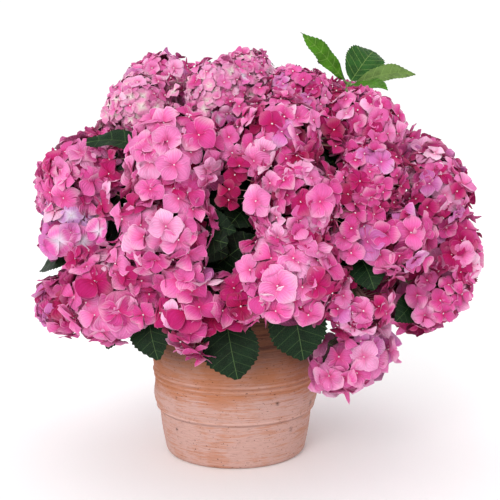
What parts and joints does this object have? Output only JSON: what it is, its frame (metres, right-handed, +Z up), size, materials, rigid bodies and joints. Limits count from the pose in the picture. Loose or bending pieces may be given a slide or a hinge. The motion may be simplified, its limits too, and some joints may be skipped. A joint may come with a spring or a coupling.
{
  "type": "potted bigleaf hydrangea",
  "caption": "Round bigleaf hydrangea with pink mophead flowers and dark toothed leaves on woody canes, standing in a thrown clay pot.",
  "frame": {"origin": "middle of the pot's flat underside, on the surface that it stands on", "axes": "+Z up along the pot's axis, -Y towards the side that the picture shows, +X to the right in it"},
  "size_m": [0.6675, 0.6178, 0.6116],
  "materials": {
    "terracotta": "matte, limewashed by use",
    "potting_soil": "rough",
    "bark": "rough",
    "petals": "soft matte",
    "leaf": "satin"
  },
  "bodies": {
    "root": {"cane_high_1": "bark", "cane_high_2": "bark", "cane_high_3": "bark", "cane_high_4": "bark", "cane_high_5": "bark", "cane_low_1": "bark", "cane_low_2": "bark", "cane_low_3": "bark", "cane_low_4": "bark", "cane_low_5": "bark", "cane_top": "bark", "head_back_high_1": "petals", "head_back_high_2": "petals", "head_back_high_3": "petals", "head_back_low_1": "petals", "head_back_low_2": "petals", "head_back_low_3": "petals", "head_back_low_4": "petals", "head_back_low_5": "petals", "head_back_middle_1": "petals", "head_back_middle_2": "petals", "head_back_middle_3": "petals", "head_back_middle_4": "petals", "head_back_middle_5": "petals", "head_back_top_1": "petals", "head_back_upper_1": "petals", "head_back_upper_2": "petals", "head_back_upper_3": "petals", "head_back_upper_4": "petals", "head_back_upper_5": "petals", "head_left_far": "petals", "head_left_high": "petals", "head_left_lilac": "petals", "head_left_low_far": "petals", "head_left_low_front": "petals", "head_left_middle": "petals", "head_left_upper": "petals", "head_middle_front": "petals", "head_middle_high": "petals", "head_middle_low": "petals", "head_middle_upper": "petals", "head_right_far": "petals", "head_right_hanging": "petals", "head_right_inner": "petals", "head_right_low": "petals", "head_right_mauve": "petals", "head_right_tucked": "petals", "head_right_upper": "petals", "head_top_left": "petals", "head_top_middle": "petals", "head_top_right": "petals", "head_upper_middle": "petals", "head_upper_right": "petals", "head_young_left": "petals", "leafy_shoot": "leaf", "pot": "terracotta", "root_crown": "bark", "soil": "potting_soil"}
  },
  "joints": []
}
